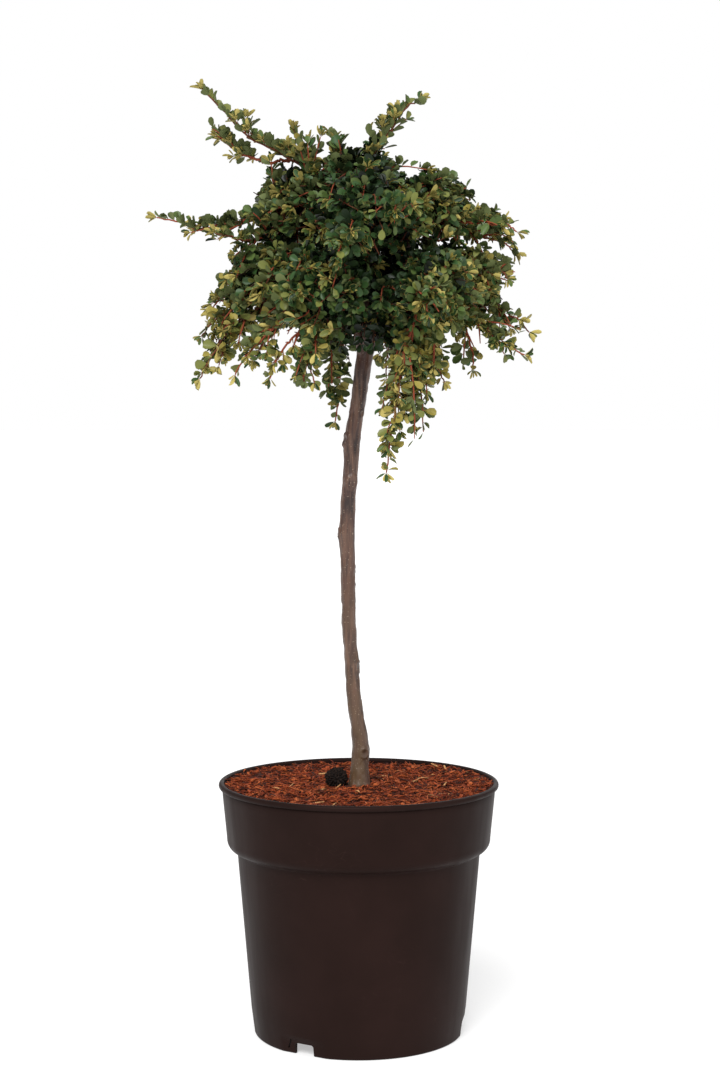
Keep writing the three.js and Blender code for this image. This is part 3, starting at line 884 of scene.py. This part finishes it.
def dress(line, start, spacing, size, tone, tip_tone, lift=0.35, inner=False, rosette=0.8):
    """Leaves along a shoot from share start: alternate, in ones, twos and threes, and a tuft at the
    tip. Lift says how much they stand on the shoot's upper side."""
    gaps = norm(np.diff(line, axis=0), axis=1)
    run = np.concatenate([[0], np.cumsum(gaps)])
    where, way = start * run[-1] + uniform(0, spacing), choice((0, math.pi))
    while where < run[-1] - 2:
        i = min(len(gaps) - 1, int(np.searchsorted(run, where)) - 1)
        point = line[i] + (line[i + 1] - line[i]) * (where - run[i]) / gaps[i]
        lead = unit(line[i + 1] - line[i])
        out = unit(across(lead, way + gauss(0, 0.5)) + UP * lift)
        near_tip = where / run[-1] > 0.8
        for _ in range(choices((1, 2, 3), (38, 38, 24))[0]):
            heading = lead * uniform(0.15, 0.8) + out * uniform(0.7, 1.15) + jitter(0.28)
            grown = size * (0.8 if near_tip else 1)
            add_leaf(point, heading, lead, grown, tone + near_tip * (tip_tone > tone), inner=inner)
        way += math.pi
        where += spacing * uniform(0.7, 1.35)
    lead = unit(line[-1] - line[-2])
    young = tip_tone >= MOSS
    count = choice((5, 6, 7)) if young else choice((3, 4, 5))
    whorl(line[-1], lead, count, size * (rosette if young else 0.85), tip_tone, young, inner)


def droop(start, heading, length, fall, steps=6):
    """A shoot that sets off along heading and bends down as it goes."""
    line, lead = [start], unit(heading)
    for _ in range(steps):
        lead = unit(lead - UP * fall / steps + jitter(0.05))
        line.append(line[-1] + lead * length / steps)
    return np.array(line)


def centre_line(points, hub):
    """The middle of a long solid from its end near hub to its far tip, and its radius on the way."""
    reach = norm(points - hub, axis=1)
    order = points[reach.argsort()]
    groups = np.array_split(order, 7)
    middle = np.array([group.mean(axis=0) for group in groups])
    ahead = np.gradient(middle, axis=0)
    radius = []
    for group, centre, forward in zip(groups, middle, ahead):
        off = group - centre
        forward = unit(forward)
        radius.append(norm(off - np.outer(off @ forward, forward), axis=1).mean())
    tip = order[-1] + unit(middle[-1] - order[-1]) * TIP_INSET
    line = np.array([hub, *middle[:-1], (middle[-1] + tip) / 2, tip])
    return line, [radius[0], *radius[:-1], radius[-1] * 0.7, 2]


def nearest_mass(point):
    gaps = {name: tree.find_nearest(Vector(point))[3] for name, tree in MASS_TREES.items()}
    return min(gaps, key=gaps.get)


def side_shoot(start, lead, way, size, fall, tone, leaf, depth=0):
    """A shoot off a longer one, with leaves, and shorter shoots of its own if it is long."""
    out = across(lead, way)
    heading = lead * uniform(0.6, 0.95) + out * uniform(0.55, 0.9) + UP * (0.35 - 0.35 * fall)
    side = kept_in(droop(start, heading, size, 0.4 + fall))
    tube(twigs, side, (0.8, 0.45), 4, choice((BROWN, RED, RED, GREENISH)))
    dress(side, 0.2, leaf * 0.56, leaf * 0.94, tone, choice((tone, tone, MOSS, MOSS, YOUNG)),
          0.7 - 0.5 * fall)
    if size > 20 and depth < 2:
        for i in range(1, 1 + min(int(size / 11), len(side) - 2)):
            at = min(len(side) - 2, 1 + i)
            turn = way + uniform(-1.6, 1.6)
            side_shoot(side[at], unit(side[at + 1] - side[at]), turn, size * uniform(0.4, 0.6), fall,
                       tone, leaf, depth + 1)


# How far the tip of a leader is moved off the end of its solid.
BENT = {"behind_stem": (12, 0, 4), "high_right": (-4, 0, 0), "top_left": (-6, 0, -8),
        "far_left": (0, 0, -4), "high_left": (-3, 0, -5), "right_skirt_tip": (-3, 0, -6),
        "right_shoulder": (-8, 0, -6), "high_left_fork": (0, 0, 6), "left_skirt_tip": (8, 0, -4)}
FORKS = {"high_left_fork": ("high_left", 0.3)}  # a spray that forks off another, and where along it


def grow_spray(name):
    """A leader along the spray, and side shoots that reach out to the solid's skin. An arching
    spray carries its shoots and leaves on top, and a hanging one all round."""
    points = points_of("spray_" + name)
    foot = foot_of(points)
    hub = MASS_CENTRES[nearest_mass(foot)]
    if name in FORKS:
        other, share = FORKS[name]
        parent = points_of("spray_" + other)
        start = foot_of(parent) + (tip_of(parent) - foot_of(parent)) * share
        hub = parent[norm(parent - start, axis=1).argsort()[:8]].mean(axis=0)
    knots, girth = centre_line(points, hub)
    if name in FORKS:
        knots = np.array([hub, (hub + knots[-1]) / 2 - UP * 2, knots[-1]])
    line = resample(spline(knots, 5), 40)
    girths = np.interp(np.linspace(0, 1, len(line)), np.linspace(0, 1, len(girth)), girth)
    length = norm(np.diff(line, axis=0), axis=1).sum()
    fall = min(1, max(0.0, (line[0][2] - line[-1][2]) / length) * 1.4)
    for _ in range(SMOOTHING):
        line[1:-1] = (line[:-2] + 2 * line[1:-1] + line[2:]) / 4
    line -= np.outer(np.minimum(girths - 3, 8) * 0.75 * (1 - fall), UP)
    line[3:-1] += np.array([jitter(0.5) for _ in line[3:-1]])
    line += np.outer(np.linspace(0, 1, len(line)), BENT.get(name, (0, 0, 0)))
    begin = min(0.6, norm(foot - hub) / length)
    tube(twigs, line, (1.7, 0.65), 7, RED if rng.random() < 0.6 else BROWN)
    hanging = fall > 0.6
    # A spray's leaves lighten the further out its tip is seen from the front, which is painted light on
    # the crown's sides, and lighten as the spray hangs.
    tone = round(gauss(1.6 + 3.3 * sideness(line[-1]) + 0.6 * fall, 0.4))
    leaf = 11 if hanging else 11.5
    dress(line, begin * 0.8, 4.7 + 0.2 * fall, leaf, tone, choice((MOSS, MOSS, YOUNG)), 1.1 - fall)
    for _ in range(SISTERS):
        i = int((begin + uniform(-0.1, 0.25)) * (len(line) - 1))
        ahead = unit(line[i + 2] - line[i]) + UP * 0.25 * (1 - fall) + jitter(0.38)
        sister = kept_in(droop(line[i], ahead, length * uniform(0.25, 0.45), 0.5 + fall))
        tube(twigs, sister, (1.1, 0.5), 5, RED)
        dress(sister, 0.15, 4.7, leaf * 0.95, tone - 1, choice((OLIVE, MOSS)), 0.8 - 0.8 * fall)
    where, way = begin * 0.8, uniform(0, 6)
    while where < 0.93:
        i = int(where * (len(line) - 1))
        size = (girths[i] - 5 + 3 * fall) / 0.62 * uniform(0.7, 1.15)
        if size > 5:
            turn = way if hanging else math.pi * (0.5 + 0.42 * math.sin(way))
            side_shoot(line[i], unit(line[i + 1] - line[i]), turn, size, fall, tone, leaf)
        way += math.pi * uniform(0.6, 1.2)
        where += max(5.5, 16 - 0.7 * girths[i]) * uniform(0.8, 1.25) / length


def sideness(point):
    """How far out a place is seen from the front, from 0 at the crown's middle to 1."""
    return min(1, norm((point - CROWN) * (1, 0.35, 0.8)) / 95)


def surface_samples(name, count, draws):
    """Places on a mass's surface with their outward direction."""
    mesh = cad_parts[name].data
    corners = np.array([[mesh.vertices[i].co for i in p.vertices[:3]] for p in mesh.polygons]) / MM
    cross = np.cross(corners[:, 1] - corners[:, 0], corners[:, 2] - corners[:, 0])
    area = norm(cross, axis=1)
    picks = draws.choice(len(area), count, p=area / area.sum())
    u, v = draws.random(count), draws.random(count)
    u, v = np.where(u + v > 1, 1 - u, u), np.where(u + v > 1, 1 - v, v)
    a, b, c = (corners[picks, k] for k in range(3))
    return a + (b - a) * u[:, None] + (c - a) * v[:, None], cross[picks] / area[picks, None]


def inside_another(name, point):
    for other, tree in MASS_TREES.items():
        if other != name:
            near, normal, _, gap = tree.find_nearest(Vector(point))
            if (Vector(point) - near).dot(normal) < 0 and gap > 0.2:
                return True
    return False


def shoot_ends(name, draws):
    """Evenly spread places where shoots reach the outside of a mass."""
    kept, ways = [], []
    for point, normal in zip(*surface_samples(name, 900, draws)):
        outward = unit(point - CROWN)
        if normal.dot(outward) < 0.05 or inside_another(name, point + normal * 7):
            continue
        if all(norm(point - other) > SHOOT_SPACING for other in kept):
            kept.append(point)
            ways.append(normal)
    return np.array(kept), np.array(ways)


def grow_mass(name, draws):
    """Limbs from the middle of a mass, and shoots from the limbs to all its outside."""
    centre = MASS_CENTRES[name]
    ends, ways = shoot_ends(name, draws)
    heart = centre + (UNION - centre) * 0.15
    bearing = (ends - centre) / norm(ends - centre, axis=1)[:, None]
    limbs = bearing[draws.choice(len(bearing), min(LIMBS, len(bearing)), replace=False)]
    for _ in range(4):  # turns each limb to the middle of the ends nearest to it
        owner = (bearing @ limbs.T).argmax(axis=1)
        limbs = np.array([unit(bearing[owner == i].mean(axis=0)) if (owner == i).any() else limb
                          for i, limb in enumerate(limbs)])
    tips = [centre + limb * 24 + UP * 3 for limb in limbs]
    for tip in tips:
        middle = (heart + tip) / 2 + UP * 3 + jitter(1.5)
        tube(twigs, spline([heart, middle, tip], 4), (2.3, 1.3), 7, OLD)
    for end, way, limb in zip(ends, ways, owner):
        start = heart + (tips[limb] - heart) * uniform(0.55, 1.0)
        outward = unit(end - CROWN)
        low = max(0.0, (CROWN[2] - end[2]) / 60)
        end = end + way * uniform(-9, 2) + outward * uniform(-3, 3) - UP * uniform(-1, 3) * (1 + low)
        end = end - UP * 8 * max(0, way[2]) ** 2
        along = outward * (1, 1, 0) - UP * 0.45 + jitter(0.3)
        along = unit(along - way * along.dot(way) * 0.85)
        run = uniform(4, 11) * (1 - 0.5 * min(1, max(0, -way[2])))
        knee = end - way * uniform(3, 8) - along * run
        bow = (start + knee) / 2 + UP * norm(knee - start) * uniform(0.06, 0.2) + jitter(1.5)
        line = spline([start, bow, knee, end - way * 2 + along * run], 4)
        wood = choices((OLD, BROWN, RED), (2, 4, 4))[0]
        tube(twigs, line, (1.1, 0.5), 4, wood)
        # A leaf's tone runs from the darkest in the middle of the crown, as seen from the front, to
        # lighter ones at its sides, more so on the right: painted shade in the middle and painted light
        # on the sides.
        side = sideness(end)
        tone = round(gauss(0.1 + (4.6 + 0.8 * (end[0] > 0)) * side**1.6, 0.8))
        young = rng.random() < 0.1 + 0.25 * side
        tip_tone = choice((MOSS, MOSS, YOUNG)) if young else min(OLIVE, tone + 1)
        dress(line, 0.3, 4.8, 10.2, tone, tip_tone, 0.6, rosette=1.25 - 0.35 * side)
    # Inner shoots take the two darkest tones: painted shade inside the mass.
    for _ in range(INNER_SHOOTS):
        inner = centre + unit(jitter(1)) * uniform(10, 30)
        line = droop(inner, inner - UNION + jitter(25), uniform(14, 22), 0.3, 4)
        tube(twigs, [heart, *line], (0.9, 0.5), 3, OLD)
        dress(line, 0, 4.6, 11, choice((0, 0, 1)), 1, inner=True)


def grow_heart():
    """Short hanging shoots under the boughs, round the union."""
    for _ in range(HEART_SHOOTS):
        way = compass(any_turn())
        start = UNION + way * uniform(14, 48) + UP * uniform(4, 22)
        length = uniform(16, 34) + 16 * max(0, way[0]) * rng.random()
        line = droop(start, way + UP * uniform(-0.6, 0.2), length, 1.6)
        path = [UNION + UP * 4, start - way * 6 + UP * 2, *line]
        tube(twigs, path, [1.4, 1.1, *np.linspace(0.9, 0.5, 7)], 5, OLD)
        # Their leaves take the darkest tones: painted shade under the crown.
        dress(line, 0.1, 5.2, 10, choice((0, 0, 1, 1, 2)), 2)


def grow_core():
    """Dark inner shoots from the boughs that close the open middle, their leaves in the darkest tones
    as painted shade.
    """
    for _ in range(CORE_SHOOTS):
        way = compass(any_turn())
        start = UNION + way * uniform(2, 34) + UP * uniform(16, 100)
        line = droop(start, way * 0.6 + UP * uniform(0.2, 1) + jitter(0.3), uniform(14, 24), 0.3)
        tube(twigs, [UNION + UP * 4, *line], (1.4, 0.5), 4, OLD)
        dress(line, 0, 4.6, 11.5, choice((0, 0, 1)), 1, inner=True)


def bough_relief(at):
    return 0.3 * wave(at / 3) + 0.35 * wave(at / 8) + 0.12 * wave(at / 1.2)


def make_boughs():
    """The main boughs with the bark's relief, from the union to the heart of each mass."""
    pile = Pile()
    for centre in MASS_CENTRES.values():
        heart = centre + (UNION - centre) * 0.12
        start = UNION + (centre - UNION) * 0.05
        line = resample(spline([start, (start + heart) / 2 + UP * 5, heart], 12), 46)
        tube(pile, line, (4.7, 2.3), 16, 0, bough_relief)
    look = bark_look("bough_bark", (66, 50, 42), (118, 92, 76), (112, 66, 48))
    pile.piece("bough_bark", [look], "twig_bark", nodes_named("bough_"))


def plain_looks(start, shades, roughness, specular):
    return [Look(f"{start}_{name}", colour(*shade), roughness, specular).material
            for name, shade in shades.items()]


def make_crown():
    draws = np.random.default_rng(5)
    for name in MASSES:
        grow_mass(name, draws)
    grow_heart()
    grow_core()
    for name in SPRAYS:
        grow_spray(name.removeprefix("spray_"))
    greens = plain_looks("leaf", LEAF_TONES, 0.38, 0.22) + plain_looks("leaf", UNDER_TONES, 0.6, 0.15)
    woods = plain_looks("twig", dict(enumerate(TWIG_TONES)), 0.6, 0.15)
    twigs.piece("twigs", woods, "twig_bark", SPRAYS)
    for sector, leaves in foliage.items():
        pile = Pile()
        leaves.fill(pile)
        pile.piece("leaves_" + sector, greens, "foliage", list(MASSES) if sector == "right" else ())


# ---- stage
def sun(name, azimuth, elevation, angle, strength):
    """A broad far light. Azimuth 0 shines from the front, 90 from the right."""
    lamp = bpy.data.lights.new(name, "SUN")
    lamp.angle, lamp.energy = math.radians(angle), strength
    light = add_object(name, lamp)
    light.rotation_euler = (math.radians(90 - elevation), 0, math.radians(azimuth))


FLOOR_REACH = 60  # metres


def make_stage():
    """A white floor that glows a little, as a light table does, under an even white studio."""
    mesh = bpy.data.meshes.new("floor")
    corners = [(x * FLOOR_REACH, y * FLOOR_REACH, 0) for x, y in ((-1, -1), (1, -1), (1, 1), (-1, 1))]
    mesh.from_pydata(corners, [], [(0, 1, 2, 3)])
    floor = add_object("floor", mesh)
    table = Look("floor", (0.6, 0.6, 0.6, 1), 0.9, 0.1, Emission_Color=(1, 1, 1, 1),
                 Emission_Strength=0.45)
    mesh.materials.append(table.material)
    world = bpy.data.worlds.new("studio")
    bpy.context.scene.world = world
    world.use_nodes = True
    tree = world.node_tree
    light, wall = tree.nodes["Background"], tree.nodes.new("ShaderNodeBackground")
    for shade, strength in ((light, 0.47), (wall, 1)):
        shade.inputs["Color"].default_value = (1, 1, 1, 1)
        shade.inputs["Strength"].default_value = strength
    seen, both = tree.nodes.new("ShaderNodeLightPath"), tree.nodes.new("ShaderNodeMixShader")
    outs = (seen.outputs["Is Camera Ray"], light.outputs[0], wall.outputs[0])
    for out, into in zip(outs, both.inputs):
        tree.links.new(out, into)
    tree.links.new(both.outputs[0], tree.nodes["World Output"].inputs["Surface"])
    sun("key", -14, 44, 34, 3.0)
    sun("fill", 55, 25, 50, 0.5)
    sun("rear", 165, 35, 60, 0.7)


def make_camera():
    """The lens and the place that the object is seen from: level with the crown's foot."""
    data = bpy.data.cameras.new("camera")
    data.lens, data.sensor_width = CAMERA_LENS, 36.0
    camera = add_object("camera", data)
    camera.location = CAMERA_AT
    camera.rotation_euler = (math.radians(90 - CAMERA_DIP), 0, 0)
    bpy.context.scene.camera = camera
    bpy.context.scene.view_settings.view_transform = "Standard"


make_camera()
make_stage()
make_pot()
make_mulch()
make_feed()
make_stem()
make_boughs()
make_crown()
